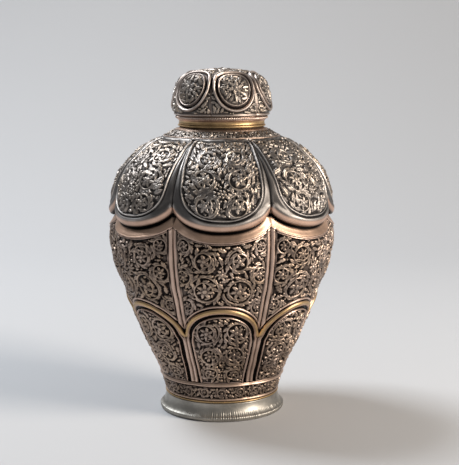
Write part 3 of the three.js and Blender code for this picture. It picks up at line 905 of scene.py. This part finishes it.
def lid_field(raster):
    """Raster of the distance into the worked metal: a medallion's eye, and the corners round its ring."""
    s, t = raster.grid()
    out = np.hypot(s * MEDALLION_SQUEEZE, t - MEDALLION_RISE)
    corner = np.minimum.reduce([
        out - MEDALLION - 1.0, DOME.from_valley(s, t) - 0.5, t - 1.6, DOME_RUN - CROWN - 0.9 - t])
    return raster.holding(np.maximum(EYE - 0.2 - out, corner))


def lid_lines(from_centre, from_valley, up, from_pole):
    """Heights of the plain metal: a raised ring round a medallion, a moat inside it, and thin lines."""
    ring = 0.9 * bump(from_centre, MEDALLION, 0.9) - 0.25
    moat = -0.7 * bump(from_centre, (MEDALLION + EYE) / 2, (MEDALLION - EYE) / 2 - 0.5)
    eye_line = ridges(from_centre, (0.4, EYE + 0.4, 0.4), (-0.3, EYE - 0.1, 0.3))
    edges = -0.7 * (1 - rounded(from_valley / 0.8)) * (from_centre > MEDALLION)
    foot = ridges(up, (0.25, 0.7, 0.6), (-0.3, 1.5, 0.35))
    return ring + moat + eye_line + edges + foot + 0.4 * bump(from_pole, CROWN + 0.1, 0.5)


def make_dome(material):
    """The dome, with a medallion on each of its six lobes and a rosette on top."""
    angles = (np.arange(LID_LOBES * LID_COLUMNS + 1) / LID_COLUMNS) * math.tau / LID_LOBES
    lobe = np.round((angles - LID_TURN) * LID_LOBES / math.tau).astype(int) % LID_LOBES
    runs = np.linspace(0.0, DOME_RUN - 0.02, int(ROWS * 0.95))[:, None] * np.ones((1, len(angles)))
    s = DOME.across(angles)[None, :] * DOME.half_lobe(runs)
    from_centre = np.hypot(s * MEDALLION_SQUEEZE, runs - MEDALLION_RISE)
    from_pole = DOME_RUN - runs
    raster = Relief(LID_RASTER, 0.0, DOME_RUN)
    field = lid_field(raster)
    heights = ornament_heights(raster, field, draw_medallion, 700, lobe, s, runs)
    heights = np.where(from_pole < CROWN, crown_heights(DOME.points(angles[None, :], runs)), heights)
    worked = GROUND * SHALLOW + LEAF * SHALLOW_LEAF * heights
    worked = worked + 0.8 * np.clip(1 - (from_centre / EYE) ** 2, 0, 1)
    plain = plain_share(-np.maximum(field.sample(s, runs), CROWN - 0.5 - from_pole), 0.25)
    plain_height = lid_lines(from_centre, DOME.from_valley(s, runs), runs, from_pole)
    relief = blend(worked, plain_height, plain)
    points, finish = raise_sheet(DOME, angles, runs, relief, plain, plain * 0.25, shade=-0.25)
    for pole in (len(runs) - 1, len(runs)):
        points[pole, :, :2] = 0.0
        points[pole, :, 2] = points[pole, :, 2].mean()
    write_piece("lid_medallions", points, finish, material, "lid", "lid_dome", POLE_MERGE)


# Plain spun pieces and wires

NICKS = 170  # fine strokes round the foot's lower edge
TWISTS = 62  # turns of the two strands in the lid's rope


def move_points(piece, rule):
    """Moves a mesh's points by a rule on their angle from the front, radius and height, in millimetres."""
    points = np.zeros(len(piece.data.vertices) * 3, np.float32)
    piece.data.vertices.foreach_get("co", points)
    x, y, height = points.astype(float).reshape(-1, 3).T / MM
    angle = np.arctan2(x, -y)
    radius, height = rule(angle, np.hypot(x, y), height)
    moved = np.stack([radius * np.sin(angle), -radius * np.cos(angle), height], axis=-1) * MM
    piece.data.vertices.foreach_set("co", moved.astype(np.float32).ravel())
    piece.data.update()


def spin(outline, edge=0, around=ROUND):
    """A ring spun round the axis from a closed outline of (radius, height) points, its edges rounded off."""
    bpy.ops.object.select_all(action="DESELECT")
    bpy.ops.mesh.primitive_circle_add(vertices=len(outline))
    piece = bpy.context.object
    section = np.array([(radius * MM, 0.0, height * MM) for radius, height in outline], np.float32)
    piece.data.vertices.foreach_set("co", section.ravel())
    lathe = piece.modifiers.new("lathe", "SCREW")
    lathe.steps = lathe.render_steps = around
    lathe.use_merge_vertices = True
    lathe.merge_threshold = 1e-6
    bpy.ops.object.modifier_apply(modifier=lathe.name)
    bpy.ops.object.mode_set(mode="EDIT")
    bpy.ops.mesh.select_all(action="SELECT")
    bpy.ops.mesh.normals_make_consistent(inside=False)
    bpy.ops.object.mode_set(mode="OBJECT")
    if edge:
        bevel = piece.modifiers.new("edge", "BEVEL")
        bevel.width = edge * MM
        bevel.segments = 4
        bevel.angle_limit = math.radians(25)
        bpy.ops.object.modifier_apply(modifier=bevel.name)
    return piece


def wire_middle(node, section):
    """Radius and height of the middle of a round wire, where a node of the frame has it."""
    return high_corner(node).x - section, (low_corner(node).z + high_corner(node).z) / 2


def wire_ring(node, section, around=ROUND):
    """A round wire bent to a ring where a node of the frame has one."""
    middle, level = wire_middle(node, section)
    return spin([(middle + section * math.cos(turn), level + section * math.sin(turn))
                 for turn in np.linspace(0, math.tau, 16, endpoint=False)], 0, around)


def nick_foot(angle, radius, height):
    """Fine upright strokes of uneven depth round the foot's lower edge."""
    rng = np.random.default_rng(41)
    depths = rng.uniform(0.05, 0.42, NICKS + 1)
    depth = np.interp(angle, np.linspace(-math.pi, math.pi, NICKS + 1), depths)
    stroke = np.clip(2 * np.cos(angle * NICKS) - 0.6, 0, 1)
    outer_face = radius > np.interp(height, [0, 2.6, 10.1], [33.0, 35.5, 32.0])
    fade = ease((height - 0.6) / 0.6) * ease((6.4 - height) / 3.0)
    return radius - outer_face * depth * stroke * fade, height


def make_foot(material):
    """The foot: a round edge that it rests on, and a flare that sweeps in to its waist."""
    radius, height = high_corner("foot_ring").x, high_corner("foot_ring").z
    waist, edge, wall, rounding = radius - 3.6, 2.6, 1.6, 1.8
    share = np.linspace(0, 1, 26)[:, None]
    corners = ((radius, edge), (waist + 0.4, height * 0.45), (waist, height))
    start, sweep, end = (np.array(point) for point in corners)
    flare = start * (1 - share) ** 2 + sweep * 2 * share * (1 - share) + end * share ** 2
    rest = radius - rounding
    turn = np.linspace(0, math.pi / 2, 8)[:, None]
    lip = np.hstack([rest + rounding * np.sin(turn), rounding - rounding * np.cos(turn)])
    inside = [(waist - wall, height), (radius - wall - 0.6, edge), (rest - wall, 0.3),
              (rest - wall + 0.3, 0.0)]
    foot = spin(np.vstack([lip, flare, inside]))
    move_points(foot, nick_foot)
    finish_piece(foot, "foot_flare", material, "vase", "foot_ring")


def make_foot_wire(material):
    """The wire over the joint of foot and belly."""
    finish_piece(wire_ring("foot_wire", 0.5), "foot_line", material, "vase", "foot_wire")


def make_neck(material):
    """The tube of the neck, and the ring round it that the lid sits on."""
    low, high = low_corner("neck_collar").z, high_corner("neck_collar")
    outer, inner, gap = high.x, high.x - 1.0, 0.3
    tube = spin([(outer, low), (outer, high.z), (inner, high.z), (inner, low)], 0.3)
    finish_piece(tube, "neck_tube", material, "vase", "neck_collar")
    low, high = low_corner("neck_seat_ring").z, high_corner("neck_seat_ring")
    seat = spin([(outer + gap, low), (high.x, low), (high.x, high.z), (outer + gap, high.z)], 0.25)
    finish_piece(seat, "neck_seat", material, "vase", "neck_seat_ring")


def make_skirt(material):
    """The lid's skirt: a bead along its lower edge, and a flare under the rope."""
    low, high = low_corner("lid_skirt").z, high_corner("lid_skirt")
    shown, flare, wall = 3.1, 0.9, 0.9
    base = high.x - flare
    skirt = spin([
        (base, low), (base + 0.12, low + 0.45), (base - 0.05, low + 0.95), (base + 0.1, low + 1.9),
        (base + flare, low + shown - 0.3), (base + flare, low + shown + 0.1), (base, low + shown + flare),
        (base, high.z), (base - wall, high.z), (base - wall, low)], 0.15)
    finish_piece(skirt, "lid_skirt_band", material, "lid", "lid_skirt")


def make_rope(material):
    """Two strands twisted together and bent round the lid."""
    section = 0.75
    middle, level = wire_middle("lid_rope_wire", section)

    def twist(angle, radius, height):
        turn = np.arctan2(height - level, radius - middle)
        reach = section * (0.58 + 0.42 * np.abs(np.cos(turn - TWISTS * angle)))
        return middle + reach * np.cos(turn), level + reach * np.sin(turn)

    rope = wire_ring("lid_rope_wire", section, 2 * ROUND)
    move_points(rope, twist)
    finish_piece(rope, "lid_rope", material, "lid", "lid_rope_wire")


# Finishes

WHITE = (1, 1, 1, 1)
CLOUD = (0.16, 0.14, 0.13, 1)  # tone of the clouds of tarnish that lie over all the worked metal


def feed(tree, socket, source):
    """Links a socket to another, or sets it to a value."""
    if isinstance(source, bpy.types.NodeSocket):
        tree.links.new(source, socket)
    else:
        socket.default_value = source


def add_node(tree, kind, inputs):
    """A shader node with its inputs linked or set."""
    node = tree.nodes.new(kind)
    for name, source in inputs.items():
        feed(tree, node.inputs[name], source)
    return node


def mix_colours(tree, factor, first, second, mode="MIX"):
    """A mix node between two colours or sockets."""
    mix = tree.nodes.new("ShaderNodeMix")
    mix.data_type = "RGBA"
    mix.blend_type = mode
    for name, source in (("Factor", factor), ("A", first), ("B", second)):
        feed(tree, mix.inputs[name], source)
    return mix.outputs["Result"]


def rescale(tree, value, low, high):
    """A value between two levels as a share from 0 to 1."""
    scaled = add_node(tree, "ShaderNodeMapRange", {"Value": value, "From Min": low, "From Max": high})
    scaled.interpolation_type = "SMOOTHSTEP"
    return scaled.outputs["Result"]


def patina_group():
    """Colour and roughness of tarnished metal: soft clouds of tarnish with fine pits."""
    group = bpy.data.node_groups.new("Patina", "ShaderNodeTree")
    for name, way, kind in (
            ("Bright", "INPUT", "Color"), ("Dark", "INPUT", "Color"), ("Scale", "INPUT", "Float"),
            ("Amount", "INPUT", "Float"), ("Color", "OUTPUT", "Color"), ("Roughness", "OUTPUT", "Float"),
            ("Height", "OUTPUT", "Float")):
        group.interface.new_socket(name=name, in_out=way, socket_type="NodeSocket" + kind)
    entry = group.nodes.new("NodeGroupInput").outputs
    place = group.nodes.new("ShaderNodeTexCoord").outputs["Object"]
    clouds = add_node(group, "ShaderNodeTexNoise", {
        "Vector": place, "Scale": entry["Scale"], "Detail": 6.0, "Roughness": 0.65}).outputs["Fac"]
    pits = add_node(group, "ShaderNodeTexNoise", {"Vector": place, "Scale": 900.0, "Detail": 3.0})
    spread = add_node(group, "ShaderNodeMapRange", {"Value": clouds, "From Min": 0.35, "From Max": 0.70})
    gloss = add_node(group, "ShaderNodeMapRange", {"Value": clouds, "To Min": 0.28, "To Max": 0.58})
    share = group.nodes.new("ShaderNodeMath")
    share.operation = "MULTIPLY"
    feed(group, share.inputs[0], spread.outputs["Result"])
    feed(group, share.inputs[1], entry["Amount"])
    colour = mix_colours(group, share.outputs[0], entry["Bright"], entry["Dark"])
    add_node(group, "NodeGroupOutput", {
        "Color": colour, "Roughness": gloss.outputs["Result"], "Height": pits.outputs["Fac"]})
    return group


def use_patina(tree, bright, dark, scale, amount):
    """The patina group in a node tree, between a bright and a dark colour or socket."""
    patina = tree.nodes.new("ShaderNodeGroup")
    patina.node_tree = bpy.data.node_groups.get("Patina") or patina_group()
    for name, source in (("Bright", bright), ("Dark", dark), ("Scale", scale), ("Amount", amount)):
        feed(tree, patina.inputs[name], source)
    return patina.outputs


def new_material(name):
    """A new material, its node tree and its shader's inputs."""
    material = bpy.data.materials.new(name)
    material.use_nodes = True
    return material, material.node_tree, material.node_tree.nodes["Principled BSDF"].inputs


def patina_metal(name, bright, dark, amount, scale):
    """A metal with the patina's roughness and pits, its tree and inputs, and the patina's colour."""
    material, tree, shader = new_material(name)
    shader["Metallic"].default_value = 0.92
    patina = use_patina(tree, bright, dark, scale, amount)
    pits = add_node(tree, "ShaderNodeBump", {
        "Height": patina["Height"], "Strength": 0.25, "Distance": 0.0002})
    feed(tree, shader["Roughness"], patina["Roughness"])
    feed(tree, shader["Normal"], pits.outputs["Normal"])
    feed(tree, shader["Base Color"], patina["Color"])
    return material, tree, shader, patina


def clouded(tree, colour, scale, amount):
    """A colour or socket darkened by soft clouds of tarnish."""
    clouds = use_patina(tree, WHITE, CLOUD, scale, amount)
    return mix_colours(tree, 1.0, colour, clouds["Color"], "MULTIPLY")


def chased_metal(name, colours, rubbed, toned, sunk):
    """Worked sheet: dark in hollows and painted shade, rubbed on the leaves, with plain and brassy rims."""
    material, tree, shader, patina = patina_metal(name, rubbed, toned, 0.75, 70.0)
    tints = use_patina(tree, rubbed, colours.gold, 45.0, 0.6)
    group = patina["Color"].node
    feed(tree, group.inputs["Bright"], tints["Color"])
    masks = tree.nodes.new("ShaderNodeAttribute")
    masks.attribute_name = "finish"
    parts = add_node(tree, "ShaderNodeSeparateColor", {"Color": masks.outputs["Color"]}).outputs
    # The first mask holds the tarnish of the hollows and the painted shade; low values turn to the dark
    # colours
    worked = parts["Red"]
    low_parts = mix_colours(tree, rescale(tree, worked, 0.20, 0.46), sunk, toned)
    leaves = mix_colours(tree, rescale(tree, worked, 0.46, 0.76), low_parts, patina["Color"])
    edges = mix_colours(tree, rescale(tree, worked, 0.54, 0.72), colours.plain, rubbed)
    # Plain rims and bands go dark where that mask is low: in their grooves, and in the painted shade
    rims = mix_colours(tree, rescale(tree, worked, 0.25, 0.46), colours.dark, edges)
    warm = mix_colours(tree, masks.outputs["Alpha"], colours.copper, colours.gold)
    bands = mix_colours(tree, rescale(tree, worked, 0.25, 0.52), colours.dark, warm)
    plain = mix_colours(tree, parts["Blue"], rims, bands)
    whole = mix_colours(tree, parts["Green"], leaves, plain)
    feed(tree, shader["Base Color"], clouded(tree, whole, 30.0, 0.55))


def skirt_metal(colours):
    """The lid's skirt: golden along its lower edge, coppery above it."""
    material, tree, shader, patina = patina_metal("lid_edge", colours.gold, colours.dark, 0.6, 60.0)
    place = tree.nodes.new("ShaderNodeTexCoord").outputs["Object"]
    height = add_node(tree, "ShaderNodeSeparateXYZ", {"Vector": place}).outputs["Z"]
    low = low_corner("lid_skirt").z * MM
    up = rescale(tree, height, low + 1.5 * MM, low + 2.4 * MM)
    both = mix_colours(tree, up, colours.gold, colours.copper)
    feed(tree, shader["Base Color"], clouded(tree, both, 60.0, 0.7))


class VASE_OT_finish(bpy.types.Operator):
    """Make the metal finishes and put one on the base plate"""

    bl_idname = "vase.finish"
    bl_label = "Finishes"

    def execute(self, context):
        colours = context.scene.vase_finish
        chased_metal("chased_copper", colours, colours.bright, colours.middle, colours.dark)
        chased_metal("chased_silver", colours, colours.silver, colours.grey, colours.hollow)
        patina_metal("plain_foot", colours.foot, colours.dark, amount=0.7, scale=30.0)
        patina_metal("golden_edge", colours.gold, colours.dark, amount=0.6, scale=60.0)
        patina_metal("copper_wire", colours.bright, colours.middle, amount=0.6, scale=90.0)
        skirt_metal(colours)
        dark_inside = patina_metal("dark_inside", colours.middle, colours.dark, amount=0.9, scale=60.0)[0]
        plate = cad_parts["base_plate"].data.materials
        plate.clear()
        plate.append(dark_inside)
        return {"FINISHED"}


class VASE_OT_foot(bpy.types.Operator):
    """Spin the foot and its wire, the neck and the seat of the lid"""

    bl_idname = "vase.foot"
    bl_label = "Foot and neck"

    def execute(self, context):
        make_foot(bpy.data.materials["plain_foot"])
        make_foot_wire(bpy.data.materials["golden_edge"])
        make_neck(bpy.data.materials["golden_edge"])
        return {"FINISHED"}


class VASE_OT_belly(bpy.types.Operator):
    """Raise the lobed belly, its arches and its base band"""

    bl_idname = "vase.belly"
    bl_label = "Belly"

    def execute(self, context):
        material = bpy.data.materials["chased_copper"]
        make_belly(material)
        make_arches(material)
        band_top = float(BELLY.run_at(BAND_TOP + BAND_LINES))
        make_band("base_band", BELLY, 0.0, band_top, 902, base_band_lines, material, "belly_shell")
        return {"FINISHED"}


class VASE_OT_shoulder(bpy.types.Operator):
    """Raise the seven petals of the shoulder and the ring round the neck"""

    bl_idname = "vase.shoulder"
    bl_label = "Shoulder"

    def execute(self, context):
        material = bpy.data.materials["chased_silver"]
        make_shoulder(material)
        low, high = float(SHOULDER.run_at(COLLAR_FOOT)) - 0.1, float(SHOULDER.runs[-1])
        make_band("collar_band", SHOULDER, low, high, 901, collar_band_lines, material, "shoulder_shell")
        return {"FINISHED"}


class VASE_OT_lid(bpy.types.Operator):
    """Raise the lid's six medallions and spin its skirt and rope"""

    bl_idname = "vase.lid"
    bl_label = "Lid"

    def execute(self, context):
        make_dome(bpy.data.materials["chased_silver"])
        make_skirt(bpy.data.materials["lid_edge"])
        make_rope(bpy.data.materials["copper_wire"])
        return {"FINISHED"}


# Stage: a floor that bends up behind the vase, soft lights and the camera, in metres

SWEEP_ROWS = 26
SWEEP_START = 0.5  # behind the vase, where the floor starts to bend up
SWEEP_BEND = 1.0
FLOOR_FRONT = -3.0
FLOOR_SIDE = 4.0
FLOOR_COLOUR = (0.55, 0.55, 0.56, 1.0)
WORLD_COLOUR = (0.75, 0.77, 0.80, 1.0)
WORLD_STRENGTH = 0.22
LIT_POINT = Vector((0, 0, 0.1))


def add_floor():
    """The floor, which bends up to a wall behind the vase."""
    bpy.ops.object.select_all(action="DESELECT")
    bpy.ops.mesh.primitive_grid_add(x_subdivisions=1, y_subdivisions=SWEEP_ROWS, calc_uvs=False)
    floor = bpy.context.object
    floor.name = "floor"
    rise = np.linspace(0, math.pi / 2, SWEEP_ROWS - 1)
    bend = SWEEP_START + SWEEP_BEND * np.sin(rise)
    back = np.concatenate([[FLOOR_FRONT], bend, [SWEEP_START + SWEEP_BEND]])
    up = np.concatenate([[0.0], SWEEP_BEND * (1 - np.cos(rise)), [3.0]])
    sides = np.tile([-FLOOR_SIDE, FLOOR_SIDE], len(up))
    corners = np.stack([sides, np.repeat(back, 2), np.repeat(up, 2)], axis=-1)
    floor.data.vertices.foreach_set("co", corners.astype(np.float32).ravel())
    bpy.ops.object.shade_smooth()
    material, tree, shader = new_material("pale_floor")
    shader["Base Color"].default_value = FLOOR_COLOUR
    shader["Roughness"].default_value = 0.9
    floor.data.materials.append(material)


def soft_light(name, place, size, power, colour):
    """A square light that faces the vase's middle."""
    data = bpy.data.lights.new(name, "AREA")
    data.size = size
    data.energy = power
    data.color = colour
    lamp = bpy.data.objects.new(name, data)
    bpy.context.scene.collection.objects.link(lamp)
    lamp.location = place
    lamp.rotation_euler = (LIT_POINT - Vector(place)).to_track_quat("-Z", "Y").to_euler()


def add_camera(context):
    """The camera where the photograph was taken from."""
    data = bpy.data.cameras.new("camera")
    data.sensor_fit = "HORIZONTAL"
    data.sensor_width = SENSOR_MM
    data.lens = SENSOR_MM * FOCAL_PIXELS / IMAGE_WIDTH
    data.clip_start = 0.01
    camera = bpy.data.objects.new("camera", data)
    context.scene.collection.objects.link(camera)
    camera.location = (0.0, -CAMERA_DISTANCE, CAMERA_HEIGHT)
    camera.rotation_euler = (math.pi / 2 - CAMERA_PITCH, 0.0, -CAMERA_YAW)
    context.scene.camera = camera


class VASE_OT_stage(bpy.types.Operator):
    """Build the floor, the soft lights and the camera at the photograph's angle"""

    bl_idname = "vase.stage"
    bl_label = "Stage"

    def execute(self, context):
        add_floor()
        soft_light("cool_light", (-0.65, 0.4, 1.2), size=0.5, power=18.0, colour=(0.90, 0.95, 1.0))
        soft_light("warm_light", (1.2, -0.55, 0.6), size=0.55, power=24.0, colour=(1.0, 0.91, 0.80))
        world = bpy.data.worlds.new("soft_room")
        context.scene.world = world
        world.use_nodes = True
        world.node_tree.nodes["Background"].inputs["Color"].default_value = WORLD_COLOUR
        world.node_tree.nodes["Background"].inputs["Strength"].default_value = WORLD_STRENGTH
        add_camera(context)
        context.scene.view_settings.view_transform = "Standard"
        return {"FINISHED"}


MAKERS = (VASE_OT_finish, VASE_OT_foot, VASE_OT_belly, VASE_OT_shoulder, VASE_OT_lid, VASE_OT_stage)


class VASE_PT_panel(bpy.types.Panel):
    """Sidebar panel of the vase"""

    bl_idname = "VASE_PT_panel"
    bl_label = "Lidded Vase"
    bl_space_type = "VIEW_3D"
    bl_region_type = "UI"
    bl_category = "Vase"

    def draw(self, context):
        for colour in VASE_PG_finish.__annotations__:
            self.layout.prop(context.scene.vase_finish, colour)
        for maker in MAKERS:
            self.layout.operator(maker.bl_idname)


CLASSES = (VASE_PG_finish, *MAKERS, VASE_PT_panel)


def register():
    for kind in CLASSES:
        bpy.utils.register_class(kind)
    bpy.types.Scene.vase_finish = bpy.props.PointerProperty(type=VASE_PG_finish)


def unregister():
    del bpy.types.Scene.vase_finish
    for kind in reversed(CLASSES):
        bpy.utils.unregister_class(kind)


def main():
    register()
    bpy.ops.vase.finish()
    bpy.ops.vase.foot()
    bpy.ops.vase.belly()
    bpy.ops.vase.shoulder()
    bpy.ops.vase.lid()
    bpy.ops.vase.stage()


if __name__ == "__main__":
    main()
